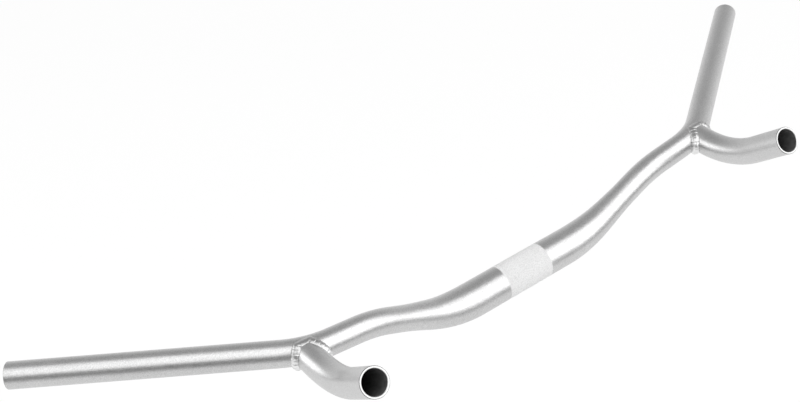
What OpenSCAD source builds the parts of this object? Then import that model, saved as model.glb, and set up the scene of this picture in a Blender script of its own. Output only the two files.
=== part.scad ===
// Cruiser handlebar: one bent tube with a wide middle for the stem, swept-back grips,
// and an upturned horn welded to the front of each sweep bend.
// The bar runs along X with the rider behind it on +Y, and +Z is up.
// The origin is the middle of the stem clamp.

/* [Stem clamp] */
// Outer diameter of the straight middle that the stem holds
clamp_d = 31.8; // [28:0.1:35]
// Length of the straight middle, end to end
clamp_len = 100; // [60:1:140]
// Straight length beyond the rise bend over which the tube still narrows
taper_run = 32; // [10:1:60]

/* [Main tube] */
// Outer diameter of the tube from the taper out to the grips
grip_d = 22.2; // [19:0.1:25.4]
// Wall of the main tube
wall = 2; // [1.5:0.1:3]
// Straight length between the taper and the levelling bend
rise_run = 11; // [4:1:40]
// Straight length between the levelling bend and the sweep bend
upper_run = 24.5; // [18:0.5:60]
// Straight length of each grip, from the sweep bend to the open end
grip_run = 217; // [120:1:260]
// Chamfer on each open end, inside and out
end_chamfer = 0.4; // [0.2:0.1:0.6]

/* [Bends of the main tube] */
// Slope at which the tube climbs away from the clamp
rise_angle = 24; // [15:0.5:35]
// Centre-line radius of the rise bend
rise_radius = 120; // [90:1:160]
// Slope that is left after the levelling bend
upper_angle = 7; // [0:0.5:12]
// Centre-line radius of the levelling bend
upper_radius = 110; // [80:1:150]
// Angle at which the level grips sweep back
sweep_angle = 35.5; // [20:0.5:50]
// Centre-line radius of the sweep bend
sweep_radius = 66; // [55:1:100]

/* [Horns] */
// Outer diameter of the horn tube
horn_d = 23.8; // [22.2:0.1:25.4]
// Wall of the horn tube
horn_wall = 1.9; // [1.5:0.1:2.5]
// How far round the sweep bend the axis of the horn sits
horn_seat = 20; // [16:0.5:22]
// How far ahead of the bar's centre line the horn ends at its top and bottom
horn_lap = 3; // [2.5:0.5:5]
// Straight length from the bar's centre line to the bend of the horn
horn_base_run = 18; // [16:1:40]
// Angle by which the horn turns up
horn_angle = 38; // [20:1:60]
// Centre-line radius of that bend
horn_radius = 90; // [50:1:120]
// Straight length from that bend to the mouth, which a lever clamps on
horn_run = 41; // [25:1:80]

/* [Weld] */
// Leg of the weld bead along the horn and along the bar
bead_leg = 4; // [2.5:0.1:4.5]
// How far each ripple of the bead stands out
ripple_h = 0.35; // [0.1:0.05:0.6]
// Ripples in one turn of the bead
ripples = 26; // [18:1:32]

/* [Hidden] */

$fn = 96;
clamp_r = clamp_d / 2;
grip_r = grip_d / 2;
horn_r = horn_d / 2;

// The sweep bend turns a sloping tube into a level one, so its plane leans with that slope
sweep_turn = acos(cos(upper_angle) * cos(sweep_angle));
sweep_roll = atan2(sin(sweep_angle), cos(sweep_angle) * sin(upper_angle));

// One row for each bend, from the clamp outwards:
// straight length before it, roll of its plane, angle and centre-line radius
BENDS = [
    [clamp_len / 2, 90, rise_angle, rise_radius],
    [taper_run + rise_run, 180, rise_angle - upper_angle, upper_radius],
    [upper_run, sweep_roll, sweep_turn, sweep_radius]
];
RISE = 0;
LEVEL = 1;
SWEEP = 2;

// Facets round the taper's skin, and rings along it
taper_sides = 40;
taper_rings = 16;
rise_arc = rise_radius * rise_angle * PI / 180;
taper_len = rise_arc + taper_run;
// A stretch that bends or narrows is drawn thinner by this step, inside and out,
// and its two ends run this far into the walls of the straight tubes beside it
seam_step = 0.02;
seam_run = 0.6;
// The ends of the straight tubes are eased by a cone of this depth, on which the seam lies
seam_ease = 0.1;

// Points on the crown of the weld bead, rings in each ripple, and its clearance from the tubes
crown_points = 4;
ripple_rings = 4;
skin_gap = 0.04;
// The edge's direction is taken over this length to each side, which keeps the rings apart
direction_span = 3;
// Height of the crown over the line between its ends, as a share of the leg, where the
// skins of the two tubes are in line
cap_rise = 0.4;

function ahead(l) = [[1, 0, 0, l], [0, 1, 0, 0], [0, 0, 1, 0], [0, 0, 0, 1]];
function rolled(a) = [[1, 0, 0, 0], [0, cos(a), -sin(a), 0], [0, sin(a), cos(a), 0], [0, 0, 0, 1]];
// A turn by an angle round a centre that lies one radius to the side
function turned(a, r) = [
    [cos(a), -sin(a), 0, r * sin(a)],
    [sin(a), cos(a), 0, r * (1 - cos(a))],
    [0, 0, 1, 0],
    [0, 0, 0, 1]
];
function place(m, p) = [for (i = [0:2]) m[i] * [p[0], p[1], p[2], 1]];
function smooth(u) = u * u * (3 - 2 * u);

// Frame at the start or the end of a bend: the tube runs along X and bends towards Y
function bend_start(k) =
    (k == 0 ? ahead(0) : bend_end(k - 1)) * ahead(BENDS[k][0]) * rolled(BENDS[k][1]);
function bend_end(k) = bend_start(k) * turned(BENDS[k][2], BENDS[k][3]);

module at_bend_start(k) {
    if (k == 0)
        translate([BENDS[k][0], 0, 0]) rotate([BENDS[k][1], 0, 0]) children();
    else
        at_bend_end(k - 1) translate([BENDS[k][0], 0, 0]) rotate([BENDS[k][1], 0, 0]) children();
}

module at_bend_end(k) {
    at_bend_start(k) round_bend(BENDS[k][2], BENDS[k][3]) children();
}

// Moves along a bend: a turn by an angle round a centre that lies one radius to the side
module round_bend(angle, radius) {
    translate([0, radius, 0]) rotate([0, 0, angle]) translate([0, -radius, 0]) children();
}

// How an end of a straight tube is finished inside and out: the depth of its cone and its length
FLAT = [0, 0];
EASED = [seam_ease, seam_run / 2];
OPEN = [end_chamfer, end_chamfer];

// A straight tube along X with its two ends finished in one of these ways
module straight(l, r, bore, near, far) {
    rotate([0, 90, 0]) rotate_extrude() polygon(concat(
        near == FLAT ? [[bore, 0], [r, 0]]
            : [[bore, near[1]], [bore + near[0], 0], [r - near[0], 0], [r, near[1]]],
        far == FLAT ? [[r, l], [bore, l]]
            : [[r, l - far[1]], [r - far[0], l], [bore + far[0], l], [bore, l - far[1]]]));
}

// A bent tube that leaves along X and turns towards Y
module elbow(angle, radius, r, bore) {
    more = seam_run / radius * 180 / PI;
    translate([0, radius, 0]) rotate([0, 0, -90 - more])
        rotate_extrude(angle = angle + 2 * more) translate([radius, 0]) difference() {
            circle(r - seam_step);
            circle(bore + seam_step);
        }
}

// A closed surface through rings of equally many points, where the last ring joins the first
module skin_loop(rings) {
    n = len(rings[0]);
    m = len(rings);
    polyhedron(
        points = [for (points = rings) each points],
        faces = [for (i = [0:m - 1], j = [0:n - 1])
            let (a = i * n, b = ((i + 1) % m) * n, k = (j + 1) % n)
            each [[a + j, b + j, b + k], [a + j, b + k, a + k]]],
        convexity = 6);
}

// Frame on the centre line of the rise bend and of the straight beyond it, s from the start
function taper_frame(s) =
    let (arc = min(max(s, 0), rise_arc))
    bend_start(RISE) * turned(arc / rise_radius * 180 / PI, rise_radius) * ahead(s - arc);
function taper_ring(s, inset) =
    let (m = taper_frame(s), r = clamp_r + (grip_r - clamp_r) * smooth(s / taper_len) - inset)
    [for (j = [0:taper_sides - 1]) let (t = 360 * j / taper_sides)
        place(m, [0, r * cos(t), r * sin(t)])];

// The narrowing stretch: one skin, out along the outside and back along the bore
module taper() {
    stations = concat(-seam_run, [for (i = [1:taper_rings - 1]) taper_len * i / taper_rings],
        taper_len + seam_run);
    // the flats of the inner facets stay in the wall too
    flats = (clamp_r - wall) * (1 / cos(180 / taper_sides) - 1);
    skin_loop(concat(
        [for (s = stations) taper_ring(s, seam_step)],
        [for (i = [1:len(stations)])
            taper_ring(stations[len(stations) - i], wall - flats - seam_step)]));
}

// The side from the taper out to the open end
module grip_side() {
    bore = grip_r - wall;
    at_bend_end(RISE) translate([taper_run, 0, 0]) straight(rise_run, grip_r, bore, FLAT, EASED);
    at_bend_start(LEVEL) elbow(rise_angle - upper_angle, upper_radius, grip_r, bore);
    at_bend_end(LEVEL) straight(upper_run, grip_r, bore, EASED, EASED);
    at_bend_start(SWEEP) elbow(sweep_turn, sweep_radius, grip_r, bore);
    at_bend_end(SWEEP) straight(grip_run, grip_r, bore, EASED, OPEN);
}

module bar_tube() {
    color("silver") {
        translate([-clamp_len / 2, 0, 0]) straight(clamp_len, clamp_r, clamp_r - wall, FLAT, FLAT);
        taper();
        mirror([1, 0, 0]) taper();
        grip_side();
        mirror([1, 0, 0]) grip_side();
    }
}

// The horn leaves level and straight ahead from this point of the bar's centre line
seat_frame = bend_start(SWEEP) * turned(horn_seat, sweep_radius);
seat_point = place(seat_frame, [0, 0, 0]);
seat_dir = place(seat_frame, [1, 0, 0]) - seat_point;
forwards = [0, -1, 0];

// Frame at the foot of the horn: X runs forwards and Y up
module at_horn_foot() {
    translate(seat_point) rotate([0, 0, -90]) rotate([90, 0, 0]) children();
}

// The round that the foot of the horn is coped to: the bar's diameter, along the bar at the seat
module cope() {
    translate(seat_point) rotate([0, -asin(seat_dir[2]), atan2(seat_dir[1], seat_dir[0])])
        rotate([0, 90, 0]) cylinder(h = 2 * horn_d, r = grip_r, center = true);
}

module horn() {
    bore = horn_r - horn_wall;
    difference() {
        at_horn_foot() translate([horn_lap, 0, 0])
            straight(horn_base_run - horn_lap, horn_r, bore, FLAT, EASED);
        cope();
    }
    at_horn_foot() translate([horn_base_run, 0, 0]) {
        elbow(horn_angle, horn_radius, horn_r, bore);
        round_bend(horn_angle, horn_radius) straight(horn_run, horn_r, bore, EASED, OPEN);
    }
}

// Parts of a vector square to the bar at the seat, and what it has inside a square root
function off_bar(v) = v - (v * seat_dir) * seat_dir;
// How far ahead of the seat a line along the horn's skin meets the cope
function cope_reach(t) =
    let (a = off_bar(forwards), b = off_bar(horn_r * [sin(t), 0, cos(t)]),
         root = pow(a * b, 2) - (a * a) * (b * b - grip_r * grip_r))
    max(horn_lap, (sqrt(max(root, 0)) - a * b) / (a * a));
// Edge of the horn's foot, by angle round the horn from the top
function foot_edge(t) =
    seat_point + (horn_r + skin_gap) * [sin(t), 0, cos(t)] + cope_reach(t) * forwards;

// Nearest point of the sweep bend's centre line
sweep_frame = bend_start(SWEEP);
sweep_axes = [for (j = [0:2]) [for (i = [0:2]) sweep_frame[i][j]]];
sweep_origin = place(sweep_frame, [0, 0, 0]);
function nearest_centre(p) =
    let (q = sweep_axes * (p - sweep_origin), v = [q[0], q[1] - sweep_radius],
         c = v * sweep_radius / norm(v))
    place(sweep_frame, [c[0], c[1] + sweep_radius, 0]);
function onto_bar(p) = let (c = nearest_centre(p)) c + (grip_r + skin_gap) * (p - c) / norm(p - c);

// Length along the foot's edge against the angle, so that the ripples are evenly spaced
edge_steps = 180;
edge_points = [for (i = [0:edge_steps]) foot_edge(360 * i / edge_steps)];
function running(i, total) = i > edge_steps ? []
    : let (more = i == 0 ? 0 : norm(edge_points[i] - edge_points[i - 1]))
    concat([total + more], running(i + 1, total + more));
edge_lengths = running(0, 0);
edge_total = edge_lengths[edge_steps];
angle_at = [for (i = [0:edge_steps]) [edge_lengths[i], 360 * i / edge_steps]];

function unit(v) = v / norm(v);
function onto_horn(p) = let (q = p - seat_point)
    seat_point + [0, q[1], 0] + (horn_r + skin_gap) * unit([q[0], 0, q[2]]);

function turn_at(s) = lookup(s - edge_total * floor(s / edge_total), angle_at);

// One ring of the bead: a leg along the horn, a rounded crown and a leg along the bar.
// Both legs are square to the edge's direction, taken over a stretch of it.
function bead_ring(s) =
    let (t = turn_at(s), root = foot_edge(t),
         run = foot_edge(turn_at(s + direction_span)) - foot_edge(turn_at(s - direction_span)),
         up = bead_leg * unit(cross(run, [sin(t), 0, cos(t)])),
         back = bead_leg * unit(cross(root - nearest_centre(root), run)),
         top = onto_horn(root + up) - root,
         toe = onto_bar(root + back) - root,
         // where the two skins lie almost in line the crown needs a height of its own
         cap = max(0, -unit(top) * unit(toe)) * cap_rise * bead_leg
            * unit([sin(t), 0, cos(t)] + unit(root - nearest_centre(root))),
         swell = 1 + ripple_h / bead_leg * (2 * abs(sin(180 * ripples * s / edge_total)) - 1))
    concat(
        [root, onto_horn(root + top / 2), root + top],
        [for (j = [1:crown_points]) let (a = 90 * j / (crown_points + 1))
            root + swell * (cos(a) * top + sin(a) * toe + sin(2 * a) * cap)],
        [root + toe, onto_bar(root + toe / 2)]);

module weld_bead() {
    steps = ripples * ripple_rings;
    skin_loop([for (i = [0:steps - 1]) bead_ring(edge_total * i / steps)]);
}

module left_horn() {
    color("silver") mirror([1, 0, 0]) horn();
}

module right_horn() {
    color("silver") horn();
}

module left_weld_bead() {
    color("gainsboro") mirror([1, 0, 0]) weld_bead();
}

module right_weld_bead() {
    color("gainsboro") weld_bead();
}

bar_tube();
left_horn();
right_horn();
left_weld_bead();
right_weld_bead();
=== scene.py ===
"""Looks of a cruiser handlebar: satin aluminium tube, welded horns, rippled beads, knurled patch."""
import math
import random

import bpy
import numpy as np
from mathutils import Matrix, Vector


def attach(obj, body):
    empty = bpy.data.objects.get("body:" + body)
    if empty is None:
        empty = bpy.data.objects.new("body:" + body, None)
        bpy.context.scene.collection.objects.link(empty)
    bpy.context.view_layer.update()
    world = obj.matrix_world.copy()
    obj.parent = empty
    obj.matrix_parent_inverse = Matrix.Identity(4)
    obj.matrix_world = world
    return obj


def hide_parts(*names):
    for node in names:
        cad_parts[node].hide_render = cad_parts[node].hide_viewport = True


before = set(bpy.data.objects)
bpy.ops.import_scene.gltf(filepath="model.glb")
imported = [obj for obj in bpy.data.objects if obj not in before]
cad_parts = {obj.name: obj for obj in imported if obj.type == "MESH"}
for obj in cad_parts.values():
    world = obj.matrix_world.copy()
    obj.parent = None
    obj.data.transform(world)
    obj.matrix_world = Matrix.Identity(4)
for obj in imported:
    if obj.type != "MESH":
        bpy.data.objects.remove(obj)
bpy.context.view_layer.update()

# Sizes in millimetres, the same as the part's source
CLAMP_D, CLAMP_LEN, TAPER_RUN = 31.8, 100.0, 32.0
GRIP_D, WALL, RISE_RUN, UPPER_RUN, GRIP_RUN, CHAMFER = 22.2, 2.0, 11.0, 24.5, 217.0, 0.4
RISE_ANGLE, RISE_RADIUS, UPPER_ANGLE, UPPER_RADIUS = 24.0, 120.0, 7.0, 110.0
SWEEP_ANGLE, SWEEP_RADIUS = 35.5, 66.0
HORN_D, HORN_WALL, HORN_SEAT, HORN_LAP, HORN_BASE = 23.8, 1.9, 20.0, 3.0, 18.0
HORN_ANGLE, HORN_RADIUS, HORN_RUN = 38.0, 90.0, 41.0
BEAD_LEG, RIPPLE, RIPPLES, SKIN_GAP = 4.0, 0.35, 26, 0.04

CLAMP_R, GRIP_R, HORN_R = CLAMP_D / 2, GRIP_D / 2, HORN_D / 2
TAPER_LEN = RISE_RADIUS * math.radians(RISE_ANGLE) + TAPER_RUN
UPPER, SWEEP = math.radians(UPPER_ANGLE), math.radians(SWEEP_ANGLE)
SWEEP_TURN = math.degrees(math.acos(math.cos(UPPER) * math.cos(SWEEP)))
SWEEP_ROLL = math.degrees(math.atan2(math.sin(SWEEP), math.cos(SWEEP) * math.sin(UPPER)))
# Each bend: the straight before it, the turn of its plane, its angle and its radius
BENDS = [(CLAMP_LEN / 2, 90, RISE_ANGLE, RISE_RADIUS),
         (TAPER_RUN + RISE_RUN, 180, RISE_ANGLE - UPPER_ANGLE, UPPER_RADIUS),
         (UPPER_RUN, SWEEP_ROLL, SWEEP_TURN, SWEEP_RADIUS)]

# How finely the tubes are drawn: points round a ring, and mm between rings on bends and straights
SIDES, BEND_STEP, RUN_STEP = 96, 1.6, 6.0
TUBE_SHARP, BEAD_SHARP = 30, 50
TINY = 1e-6

# The bead: steps round the foot, rings in a pool, points over the crown, mm looked ahead and back
FOOT_STEPS, POOL_RINGS, CROWN_POINTS, LOOK = 1440, 12, 18, 3
PITCH_SPREAD, SWELL_SPREAD, SWELL_SHARE = 0.16, 0.5, 0.35
FRONT_START, FRONT_SLOPE, TAIL_POWER, POOL_HEIGHT, POOL_DROP = 0.15, 9, 0.6, 1.9, 0.9
CALM_SHARE, TOE_SHARE, CAP_SHARE = 0.3, 0.35, 0.4
LEFT_SEED, RIGHT_SEED = 4, 9

# The roughened patch, in metres along the bar, and what it adds to the metal round it
KNURL_MID, KNURL_HALF, KNURL_BLUR, KNURL_PITCH, KNURL_DEPTH = 0.001, 0.0235, 0.0004, 0.0009, 0.0004
KNURL_COLOUR, KNURL_GRAIN, KNURL_ROUGHER, KNURL_LESS_METAL = 0.82, 0.8, 0.4, 0.7

# Grain of the metals: noise scales per metre, bump depths in metres, and the spread of tone and roughness
NOISE_LOW, NOISE_HIGH = 0.3, 0.7
FINE_SCALE, COARSE_SCALE, CLOUD_SCALE, COARSE_SHARE, GRAIN_DEPTH = 1000, 420, 22, 0.8, 0.00012
CLOUD_SPREAD, ROUGH_SPREAD = 0.02, 0.05
# Painted shade on the weld bead: above this height, over this blur, its colour drops by this much, so its
# top is darker than its flanks
SHADE_TOP_HEIGHT, SHADE_TOP_BLUR, SHADE_TOP_DROP = 0.048, 0.004, 0.32
TURNED_SCALE, TURNED_ROUGH, TURNED_GRAIN, TURNED_DEPTH = 900, (-0.05, 0.06), 0.2, 0.0001
DRAWN_SCALE, DRAWN_METAL, DRAWN_GRAIN, DRAWN_DEPTH = 260, 0.6, 0.25, 0.0002
DRAWN_TONE, DRAWN_ROUGH = (0.8, 1.2), (0.45, 0.6)

# Stage and world, in metres: the floor fades to grey in front, and the world is dim on one side
FLOOR_Z, FLOOR_SIZE, FLOOR_SCALE, FLOOR_TINT, FLOOR_GLOW = -0.32, 16, 40, (0.93, 0.95), 0.9
FADE_FROM, FADE_TO, FADE_LEVEL = -0.55, -1.0, 0.42
HORIZON, CEILING, HORIZON_AT, CEILING_AT = 0.78, 0.4, 0.05, 0.75
DIM_SIDE, DIM_LEVEL, DIM_FROM, DIM_TO = (-0.75, -0.65, -0.05), 0.26, 0.72, 0.97
AMBIENT = 0.66

# Camera fitted to the part's outline in the photograph's 800 x 402 frame
SENSOR, LENS, VIEW_END = 36, 55.533, 50
CAMERA_PLACE, CAMERA_TURN = (-0.51903, -0.64900, 0.69995), (0.932871, 0.097438, -0.630221)


def ahead(length):
    """A frame further along x."""
    m = np.eye(4)
    m[0, 3] = length
    return m


def rolled(a):
    """A frame rolled about x by a degrees."""
    c, s = math.cos(math.radians(a)), math.sin(math.radians(a))
    return np.array([[1, 0, 0, 0], [0, c, -s, 0], [0, s, c, 0], [0, 0, 0, 1.0]])


def turned(a, r):
    """A frame at the end of a bend by a degrees and of radius r, towards y."""
    c, s = math.cos(math.radians(a)), math.sin(math.radians(a))
    return np.array([[c, -s, 0, r * s], [s, c, 0, r * (1 - c)], [0, 0, 1, 0], [0, 0, 0, 1.0]])


def bend_start(k):
    return (np.eye(4) if k == 0 else bend_end(k - 1)) @ ahead(BENDS[k][0]) @ rolled(BENDS[k][1])


def bend_end(k):
    return bend_start(k) @ turned(BENDS[k][2], BENDS[k][3])


def steps(length, step):
    return max(2, int(length / step))


def path(bends, last_run):
    """Stations (length, frame) along a bend table and its last straight, the roll taken back."""
    out, m, total, roll = [(0.0, np.eye(4))], np.eye(4), 0.0, 0.0
    for run, turn, angle, radius in bends:
        n = steps(run, RUN_STEP)
        for i in range(1, n + 1):
            out.append((total + run * i / n, m @ ahead(run * i / n) @ rolled(-roll)))
        m, total, roll = m @ ahead(run) @ rolled(turn), total + run, roll + turn
        arc = radius * math.radians(angle)
        n = steps(arc, BEND_STEP)
        for i in range(1, n + 1):
            out.append((total + arc * i / n, m @ turned(angle * i / n, radius) @ rolled(-roll)))
        m, total = m @ turned(angle, radius), total + arc
    n = steps(last_run, RUN_STEP)
    for i in range(1, n + 1):
        out.append((total + last_run * i / n, m @ ahead(last_run * i / n) @ rolled(-roll)))
    return out


def ring(m, r):
    t = np.arange(SIDES) * 2 * math.pi / SIDES
    p = np.stack([np.zeros(SIDES), r * np.cos(t), r * np.sin(t), np.ones(SIDES)])
    return (m @ p)[:3].T


def mouth(total, end, r, inset):
    """The last two rings of a skin at an open end, with the chamfer between them."""
    return [(total - CHAMFER, ring(end @ ahead(-CHAMFER), r)), (total, ring(end, r + inset))]


def make_mesh(name, rings, lengths=None, sharp=TUBE_SHARP):
    """A closed skin through rings in mm; its map is the length in metres and the share of the way round."""
    n, m = len(rings[0]), len(rings)
    verts = np.vstack(rings) / 1000
    faces, uvs = [], []
    lengths = lengths or [float(i) for i in range(m)]
    for i in range(m):
        b = (i + 1) % m
        length, next_length = lengths[i], lengths[b] if b else lengths[i]
        for j in range(n):
            k = (j + 1) % n
            faces.append((i * n + j, b * n + j, b * n + k, i * n + k))
            uvs += [(length, j), (next_length, j), (next_length, j + 1), (length, j + 1)]
    mesh = bpy.data.meshes.new(name)
    mesh.from_pydata([tuple(v) for v in verts], [], faces)
    layer = mesh.uv_layers.new(name="along")
    layer.data.foreach_set("uv", np.array([(u / 1000, v / n) for u, v in uvs], np.float32).ravel())
    mesh.validate()
    mesh.update()
    tri = np.array([[verts[f[0]], verts[f[1]], verts[f[2]]] for f in faces] +
                   [[verts[f[0]], verts[f[2]], verts[f[3]]] for f in faces])
    volume = float(np.einsum("ij,ij->i", tri[:, 0], np.cross(tri[:, 1], tri[:, 2])).sum())
    if volume < 0:
        mesh.flip_normals()
    mesh.shade_smooth()
    mesh.set_sharp_from_angle(angle=math.radians(sharp))
    obj = bpy.data.objects.new(name, mesh)
    bpy.context.scene.collection.objects.link(obj)
    return obj


def smooth(u):
    u = min(max(u, 0.0), 1.0)
    return u * u * (3 - 2 * u)


def mirrored(points):
    return points * np.array([-1.0, 1, 1])


def unit(v):
    return v / np.linalg.norm(v)


def bar_mesh():
    """The bar: its outside from the left end to the right one, and its bore on the way back."""
    stations = path(BENDS, GRIP_RUN)
    total, end = stations[-1]

    def radius(s):
        return CLAMP_R + (GRIP_R - CLAMP_R) * smooth((s - CLAMP_LEN / 2) / TAPER_LEN)

    outer = [(s, ring(m, radius(s))) for s, m in stations[:-1]] + mouth(total, end, GRIP_R, -CHAMFER)
    inner = [(s, ring(m, radius(s) - WALL)) for s, m in stations[:-1]]
    inner += mouth(total, end, GRIP_R - WALL, CHAMFER)
    left = [(-s, mirrored(p)) for s, p in outer[:0:-1]]
    left_in = [(-s, mirrored(p)) for s, p in inner[1:]]
    loop = left + outer + inner[::-1] + left_in
    return make_mesh("bar_skin", [p for _, p in loop], [s for s, _ in loop])


# The seat is the point on the sweep bend, the last of the three, that the right horn stands on
SWEEP_FRAME = bend_start(2)
SEAT = SWEEP_FRAME @ turned(HORN_SEAT, SWEEP_RADIUS)
SEAT_POINT, SEAT_DIR = SEAT[:3, 3], SEAT[:3, 0]
FORWARDS = np.array([0, -1.0, 0])
# The horn's frame has x forwards, y up and z to the right
HORN_FRAME = np.array([[0, 0, 1, SEAT_POINT[0]],
                       [-1, 0, 0, SEAT_POINT[1]],
                       [0, 1, 0, SEAT_POINT[2]],
                       [0, 0, 0, 1.0]])


def off_bar(v):
    """What is left of a vector across the bar at the seat."""
    return v - (v @ SEAT_DIR) * SEAT_DIR


def outwards(t):
    """Direction from the horn's axis at angle t, from up to the right."""
    return np.array([math.sin(t), 0, math.cos(t)])


def cope_reach(t, r=HORN_R):
    """How far in front of the seat a horn's skin of radius r meets the bar's round."""
    a, b = off_bar(FORWARDS), off_bar(r * outwards(t))
    root = (a @ b) ** 2 - (a @ a) * (b @ b - GRIP_R ** 2)
    return max(HORN_LAP, (math.sqrt(max(root, 0)) - a @ b) / (a @ a))


def horn_mesh(name, flip):
    """A horn: its outside from the coped foot to the mouth, and its bore on the way back."""
    stations = path([(HORN_BASE, 0, HORN_ANGLE, HORN_RADIUS)], HORN_RUN)
    total, end = stations[-1][0], HORN_FRAME @ stations[-1][1]
    body = [(s, HORN_FRAME @ m) for s, m in stations[:-1] if s > HORN_BASE - TINY]

    def foot(r):
        turns = np.arange(SIDES) * 2 * math.pi / SIDES
        local = [np.array([cope_reach(q, r), r * math.cos(q), r * math.sin(q), 1]) for q in turns]
        return np.array([(HORN_FRAME @ p)[:3] for p in local])

    def skin(r, inset):
        return [(0.0, foot(r))] + [(s, ring(m, r)) for s, m in body] + mouth(total, end, r, inset)

    loop = skin(HORN_R, -CHAMFER) + skin(HORN_R - HORN_WALL, CHAMFER)[::-1]
    rings = [mirrored(p) if flip else p for _, p in loop]
    return make_mesh(name, rings, [s for s, _ in loop])


def nearest_centre(p):
    """The point of the sweep bend's centre line that is nearest to p."""
    q = SWEEP_FRAME[:3, :3].T @ (p - SWEEP_FRAME[:3, 3])
    v = np.array([q[0], q[1] - SWEEP_RADIUS])
    c = v * SWEEP_RADIUS / np.linalg.norm(v)
    return SWEEP_FRAME[:3, :3] @ np.array([c[0], c[1] + SWEEP_RADIUS, 0]) + SWEEP_FRAME[:3, 3]


def onto_bar(p):
    c = nearest_centre(p)
    return c + (GRIP_R + SKIN_GAP) * unit(p - c)


def onto_horn(p):
    q = p - SEAT_POINT
    return SEAT_POINT + np.array([0, q[1], 0]) + (HORN_R + SKIN_GAP) * unit(np.array([q[0], 0, q[2]]))


def foot_edge(t):
    return SEAT_POINT + (HORN_R + SKIN_GAP) * outwards(t) + cope_reach(t) * FORWARDS


def pool_height(u, more):
    """Height of a ripple at share u of its pool: the front is steep and the tail runs out flat."""
    front = min(1.0, u * FRONT_SLOPE + FRONT_START)
    return RIPPLE * ((1 - u) ** TAIL_POWER * front * POOL_HEIGHT - POOL_DROP + SWELL_SHARE * more)


def bead_section(t, run, height):
    """One ring of the bead: from the foot's edge up the horn, over the crown and down the bar."""
    root, out = foot_edge(t), outwards(t)
    off = root - nearest_centre(root)
    top = onto_horn(root + BEAD_LEG * unit(np.cross(run, out))) - root
    toe = onto_bar(root + BEAD_LEG * unit(np.cross(off, run))) - root
    cap = max(0.0, -unit(top) @ unit(toe)) * CAP_SHARE * BEAD_LEG * unit(out + unit(off))
    points = [root, onto_horn(root + top / 2), root + top]
    for j in range(1, CROWN_POINTS + 1):
        a = math.radians(90 * j / (CROWN_POINTS + 1))
        bow = math.sin(2 * a)
        swell = 1 + (height / BEAD_LEG) * (TOE_SHARE + (1 - TOE_SHARE) * bow)
        points.append(root + swell * (math.cos(a) * top + math.sin(a) * toe + bow * cap))
    return np.array(points + [root + toe, onto_bar(root + toe / 2)])


def bead_mesh(name, flip, seed):
    """A weld bead round the horn's foot: one lens-shaped pool laid over the next, slightly uneven."""
    rng = random.Random(seed)
    grid = [2 * math.pi * i / FOOT_STEPS for i in range(FOOT_STEPS + 1)]
    edge = [foot_edge(t) for t in grid]
    lengths = [0.0]
    for a, b in zip(edge, edge[1:]):
        lengths.append(lengths[-1] + float(np.linalg.norm(b - a)))
    total = lengths[-1]

    def turn(s):
        return float(np.interp(s % total, lengths, grid))

    # where each pool starts, and how much it swells
    pitch = [1 + rng.uniform(-PITCH_SPREAD, PITCH_SPREAD) for _ in range(RIPPLES)]
    starts = np.concatenate([[0], np.cumsum(pitch)]) * total / sum(pitch)
    swells = [rng.uniform(-SWELL_SPREAD, SWELL_SPREAD) for _ in range(RIPPLES)]
    rings = []
    for k in range(RIPPLES):
        for i in range(POOL_RINGS):
            u = i / POOL_RINGS
            s = starts[k] + (starts[k + 1] - starts[k]) * u
            t = turn(s)
            run = foot_edge(turn(s + LOOK)) - foot_edge(turn(s - LOOK))
            more = swells[k] * (1 - u) + swells[(k + 1) % RIPPLES] * u
            # the ripples are flatter over the top of the horn and under its foot
            calm = min(1.0, CALM_SHARE + abs(math.sin(t)))
            rings.append(bead_section(t, run, pool_height(u, more) * calm))
    return make_mesh(name, [mirrored(p) if flip else p for p in rings], sharp=BEAD_SHARP)


def tree_of(name):
    mat = bpy.data.materials.new(name)
    mat.use_nodes = True
    nodes = mat.node_tree.nodes
    nodes.clear()
    out = nodes.new("ShaderNodeOutputMaterial")
    return mat, nodes, mat.node_tree.links, out


def metal_of(name, metallic=1.0):
    mat, nodes, links, out = tree_of(name)
    shader = nodes.new("ShaderNodeBsdfPrincipled")
    shader.inputs["Metallic"].default_value = metallic
    links.new(shader.outputs["BSDF"], out.inputs["Surface"])
    return mat, nodes, links, shader


def feed(links, value, socket):
    """Sets a socket to a number, or links an output to it."""
    if isinstance(value, (int, float)):
        socket.default_value = value
    else:
        links.new(value, socket)


def coordinate(nodes, kind):
    return nodes.new("ShaderNodeTexCoord").outputs[kind]


def component(nodes, links, vector, axis):
    split = nodes.new("ShaderNodeSeparateXYZ")
    links.new(vector, split.inputs[0])
    return split.outputs[axis]


def map_along(nodes, links, axis):
    """The skin's own map: axis 0 is the length in metres, axis 1 the share of the way round."""
    uv = nodes.new("ShaderNodeUVMap")
    uv.uv_map = "along"
    return component(nodes, links, uv.outputs["UV"], axis)


def noise(nodes, links, scale, detail, rough=0.5):
    tex = nodes.new("ShaderNodeTexNoise")
    tex.inputs["Scale"].default_value = scale
    tex.inputs["Detail"].default_value = detail
    tex.inputs["Roughness"].default_value = rough
    links.new(coordinate(nodes, "Object"), tex.inputs["Vector"])
    return tex.outputs["Fac"]


def ramp(nodes, links, source, low_at, high_at, low_v, high_v, curve="LINEAR"):
    node = nodes.new("ShaderNodeMapRange")
    node.interpolation_type = curve
    node.inputs["From Min"].default_value = low_at
    node.inputs["From Max"].default_value = high_at
    node.inputs["To Min"].default_value = low_v
    node.inputs["To Max"].default_value = high_v
    links.new(source, node.inputs["Value"])
    return node.outputs["Result"]


def spread(nodes, links, source, low_v, high_v):
    """A noise drawn out between two values."""
    return ramp(nodes, links, source, NOISE_LOW, NOISE_HIGH, low_v, high_v)


def math_node(nodes, links, op, *values):
    node = nodes.new("ShaderNodeMath")
    node.operation = op
    for i, value in enumerate(values):
        feed(links, value, node.inputs[i])
    return node.outputs[0]


def grey(nodes, links, value):
    mix = nodes.new("ShaderNodeCombineColor")
    for i in range(3):
        links.new(value, mix.inputs[i])
    return mix.outputs["Color"]


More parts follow.
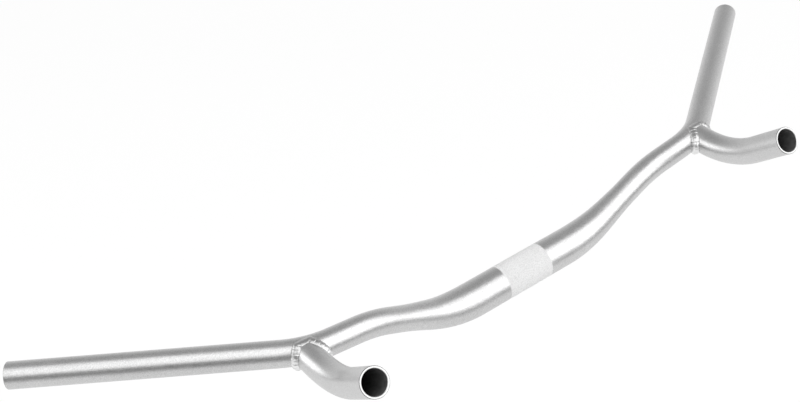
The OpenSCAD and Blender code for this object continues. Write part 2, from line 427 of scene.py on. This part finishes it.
def bump(nodes, links, height, strength, distance, normal=None):
    node = nodes.new("ShaderNodeBump")
    feed(links, strength, node.inputs["Strength"])
    node.inputs["Distance"].default_value = distance
    links.new(height, node.inputs["Height"])
    if normal is not None:
        links.new(normal, node.inputs["Normal"])
    return node.outputs["Normal"]


def knurl_mask(nodes, links):
    """1 on the roughened patch round the middle of the clamp area, 0 elsewhere."""
    away = math_node(nodes, links, "SUBTRACT", map_along(nodes, links, 0), KNURL_MID)
    away = math_node(nodes, links, "ABSOLUTE", away)
    return ramp(nodes, links, away, KNURL_HALF - KNURL_BLUR, KNURL_HALF + KNURL_BLUR, 1.0, 0.0)


def knurl_peaks(nodes, links):
    """Diamonds: two sets of grooves that cross."""
    along = map_along(nodes, links, 0)
    around = math_node(nodes, links, "MULTIPLY", map_along(nodes, links, 1), 2 * math.pi * CLAMP_R / 1000)
    waves = []
    for sign in (1.0, -1.0):
        slant = math_node(nodes, links, "MULTIPLY_ADD", along, sign, around)
        phase = math_node(nodes, links, "MULTIPLY", slant, math.pi / KNURL_PITCH)
        waves.append(math_node(nodes, links, "ABSOLUTE", math_node(nodes, links, "SINE", phase)))
    return math_node(nodes, links, "MULTIPLY", *waves)


def blasted(name, colour, rough, grain, tone_spread=0.06, knurl=False, painted_shade_top=False):
    """Bead-blasted aluminium: a fine grain in bump, roughness and tone, and if asked, painted shade that
    darkens the top.
    """
    mat, nodes, links, shader = metal_of(name)
    fine = noise(nodes, links, FINE_SCALE, detail=2.0, rough=0.6)
    coarse = noise(nodes, links, COARSE_SCALE, detail=3.0, rough=0.6)
    cloud = noise(nodes, links, CLOUD_SCALE, detail=3.0)
    value = math_node(nodes, links, "ADD", spread(nodes, links, fine, -tone_spread, tone_spread),
                      spread(nodes, links, cloud, -CLOUD_SPREAD, CLOUD_SPREAD))
    value = math_node(nodes, links, "ADD", value, colour)
    # painted shade: the colour is darkened above a height, over the top of the bead
    if painted_shade_top:
        up = component(nodes, links, coordinate(nodes, "Object"), 2)
        top = ramp(nodes, links, up, SHADE_TOP_HEIGHT - SHADE_TOP_BLUR, SHADE_TOP_HEIGHT + SHADE_TOP_BLUR, 0.0, SHADE_TOP_DROP)
        value = math_node(nodes, links, "SUBTRACT", value, top)
    roughness = spread(nodes, links, coarse, rough - ROUGH_SPREAD, rough + ROUGH_SPREAD)
    height = math_node(nodes, links, "ADD", fine, math_node(nodes, links, "MULTIPLY", coarse, COARSE_SHARE))
    normal = bump(nodes, links, height, grain, GRAIN_DEPTH)
    if knurl:
        mask = knurl_mask(nodes, links)
        value = math_node(nodes, links, "MULTIPLY_ADD", mask, KNURL_COLOUR - colour, value)
        roughness = math_node(nodes, links, "MULTIPLY_ADD", mask, KNURL_ROUGHER, roughness)
        metal = math_node(nodes, links, "MULTIPLY_ADD", mask, -KNURL_LESS_METAL, 1.0)
        links.new(metal, shader.inputs["Metallic"])
        peaks = math_node(nodes, links, "MULTIPLY", knurl_peaks(nodes, links), mask)
        strength = math_node(nodes, links, "MULTIPLY", mask, KNURL_GRAIN)
        normal = bump(nodes, links, peaks, strength, KNURL_DEPTH, normal)
    links.new(grey(nodes, links, value), shader.inputs["Base Color"])
    links.new(roughness, shader.inputs["Roughness"])
    links.new(normal, shader.inputs["Normal"])
    return mat


def machined(name, colour, rough):
    """A turned face or edge, with a fine even noise in bump and roughness."""
    mat, nodes, links, shader = metal_of(name)
    shader.inputs["Base Color"].default_value = (colour, colour, colour, 1)
    tex = noise(nodes, links, TURNED_SCALE, detail=2.0)
    less, more = TURNED_ROUGH
    links.new(spread(nodes, links, tex, rough + less, rough + more), shader.inputs["Roughness"])
    links.new(bump(nodes, links, tex, TURNED_GRAIN, TURNED_DEPTH), shader.inputs["Normal"])
    return mat


def inside(name, colour):
    """The bore: drawn tube left dull and unblasted, its colour painted dark as shade inside the tube."""
    mat, nodes, links, shader = metal_of(name, DRAWN_METAL)
    tex = noise(nodes, links, DRAWN_SCALE, detail=4.0)
    tone = spread(nodes, links, tex, *[colour * share for share in DRAWN_TONE])
    links.new(grey(nodes, links, tone), shader.inputs["Base Color"])
    links.new(spread(nodes, links, tex, *DRAWN_ROUGH), shader.inputs["Roughness"])
    links.new(bump(nodes, links, tex, DRAWN_GRAIN, DRAWN_DEPTH), shader.inputs["Normal"])
    return mat


SKIN, FACE, BORE, EDGE = range(4)


def paint_tube(obj, skin, both_ends):
    """The first half of a tube's rings of faces is its outside, the second its bore, with ends between."""
    for mat in (skin, turned_face, shaded_bore_mat, shaded_edge_mat):
        obj.data.materials.append(mat)
    half = len(obj.data.polygons) // SIDES // 2
    kinds = np.array([SKIN] * half + [BORE] * half, np.int32)
    # the outer chamfer's ring of faces takes the material painted dark as shade
    kinds[half - 2:half + 1] = EDGE, FACE, FACE
    if both_ends:
        kinds[[0, -2, -1]] = EDGE, FACE, FACE
    obj.data.polygons.foreach_set("material_index", np.repeat(kinds, SIDES))


bar = bar_mesh()
horns = [horn_mesh("left_horn_skin", True), horn_mesh("right_horn_skin", False)]
beads = [bead_mesh("left_bead_skin", True, LEFT_SEED), bead_mesh("right_bead_skin", False, RIGHT_SEED)]

satin = blasted("satin aluminium", 0.60, 0.36, grain=0.5, tone_spread=0.09, knurl=True)
matte = blasted("matte aluminium", 0.60, 0.35, grain=0.45)
# The weld's top carries painted shade
weld = blasted("bright weld", 0.82, 0.34, grain=0.4, painted_shade_top=True)
turned_face = machined("turned mouth", 0.58, 0.36)
# Painted shade: the outer chamfer round each mouth is coloured dark, so a dark line shows round the mouth
shaded_edge_mat = machined("outer chamfer painted dark", 0.22, 0.5)
# Painted shade: the bore's colour is set dark for the shade inside the tube; its grain and roughness are
# the drawn tube's own
shaded_bore_mat = inside("drawn bore painted dark", 0.2)

paint_tube(bar, satin, both_ends=True)
for horn in horns:
    paint_tube(horn, matte, both_ends=False)
for bead in beads:
    bead.data.materials.append(weld)

for piece, slot, node in ((bar, "bar_tube", "bar_tube"), (horns[0], "horn_tube", "left_horn"),
                          (horns[1], "horn_tube", "right_horn"), (beads[0], "weld_bead", "left_weld_bead"),
                          (beads[1], "weld_bead", "right_weld_bead")):
    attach(piece, "root")
    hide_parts(node)
cad_look = {"bar_tube": satin, "left_horn": matte, "right_horn": matte,
            "left_weld_bead": weld, "right_weld_bead": weld}
for name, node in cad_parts.items():
    node.data.materials.clear()
    node.data.materials.append(cad_look[name])


def is_seen(nodes, links):
    """1 for rays of the camera, off metal and through glass, which see the same stage, 0 for others."""
    ray = nodes.new("ShaderNodeLightPath").outputs
    seen = math_node(nodes, links, "MAXIMUM", ray["Is Camera Ray"], ray["Is Glossy Ray"])
    return math_node(nodes, links, "MAXIMUM", seen, ray["Is Transmission Ray"])


def pale_floor():
    """A pale floor whose front fades to grey, below a part that is held in the air."""
    bpy.ops.mesh.primitive_plane_add(size=FLOOR_SIZE, location=(0, 0, FLOOR_Z))
    floor = bpy.context.object
    floor.name = "floor"
    mat, nodes, links, out = tree_of("pale floor")
    back = component(nodes, links, coordinate(nodes, "Object"), 1)
    fade = ramp(nodes, links, back, FADE_TO, FADE_FROM, FADE_LEVEL, 1.0, "SMOOTHSTEP")
    tint = spread(nodes, links, noise(nodes, links, FLOOR_SCALE, detail=3.0), *FLOOR_TINT)
    diffuse = nodes.new("ShaderNodeBsdfDiffuse")
    links.new(grey(nodes, links, math_node(nodes, links, "MULTIPLY", tint, fade)), diffuse.inputs["Color"])
    glow = nodes.new("ShaderNodeEmission")
    links.new(fade, glow.inputs["Strength"])
    blend = nodes.new("ShaderNodeMixShader")
    share = math_node(nodes, links, "MULTIPLY", is_seen(nodes, links), FLOOR_GLOW)
    links.new(share, blend.inputs["Fac"])
    links.new(diffuse.outputs["BSDF"], blend.inputs[1])
    links.new(glow.outputs["Emission"], blend.inputs[2])
    links.new(blend.outputs["Shader"], out.inputs["Surface"])
    floor.data.materials.append(mat)
    return floor


def studio_world():
    """A pale studio with a grey ceiling and a dim side, and plain even light for diffuse rays."""
    world = bpy.data.worlds.new("studio")
    world.use_nodes = True
    nodes, links = world.node_tree.nodes, world.node_tree.links
    nodes.clear()
    out = nodes.new("ShaderNodeOutputWorld")
    back = nodes.new("ShaderNodeBackground")
    back.inputs["Color"].default_value = (1, 1, 1, 1)
    direction = coordinate(nodes, "Generated")
    up = component(nodes, links, direction, 2)
    level = ramp(nodes, links, up, HORIZON_AT, CEILING_AT, HORIZON, CEILING, "SMOOTHSTEP")
    side = nodes.new("ShaderNodeVectorMath")
    side.operation = "DOT_PRODUCT"
    side.inputs[1].default_value = DIM_SIDE
    links.new(direction, side.inputs[0])
    dim = ramp(nodes, links, side.outputs["Value"], DIM_FROM, DIM_TO, 1.0, DIM_LEVEL, "SMOOTHSTEP")
    studio = math_node(nodes, links, "MULTIPLY", level, dim)
    seen = is_seen(nodes, links)
    unseen = math_node(nodes, links, "SUBTRACT", 1.0, seen)
    plain = math_node(nodes, links, "MULTIPLY", unseen, AMBIENT)
    links.new(math_node(nodes, links, "MULTIPLY_ADD", seen, studio, plain), back.inputs["Strength"])
    links.new(back.outputs["Background"], out.inputs["Surface"])
    return world


def soft_light(name, location, target, size, power):
    data = bpy.data.lights.new(name, "AREA")
    data.shape = "RECTANGLE"
    data.size, data.size_y = size
    data.energy = power
    obj = bpy.data.objects.new(name, data)
    obj.location = location
    obj.rotation_euler = (Vector(target) - Vector(location)).to_track_quat("-Z", "Y").to_euler()
    scene.collection.objects.link(obj)


def fitted_camera():
    data = bpy.data.cameras.new("camera")
    data.sensor_width = SENSOR
    data.lens = LENS
    data.clip_end = VIEW_END
    camera = bpy.data.objects.new("camera", data)
    camera.location = CAMERA_PLACE
    camera.rotation_euler = CAMERA_TURN
    scene.collection.objects.link(camera)
    return camera


scene = bpy.context.scene
floor = pale_floor()
scene.world = studio_world()
soft_light("key", location=(0.56, -0.99, 0.98), target=(0, 0, 0), size=(2.0, 2.0), power=20)
soft_light("side", location=(-1.1, 0.92, 0.5), target=(0, 0, 0.05), size=(0.9, 0.75), power=3.6)
soft_light("fill", location=(-0.85, -0.25, 1.2), target=(-0.3, 0.05, 0), size=(1.3, 1.5), power=8)
scene.camera = fitted_camera()
scene.view_settings.view_transform = "Standard"
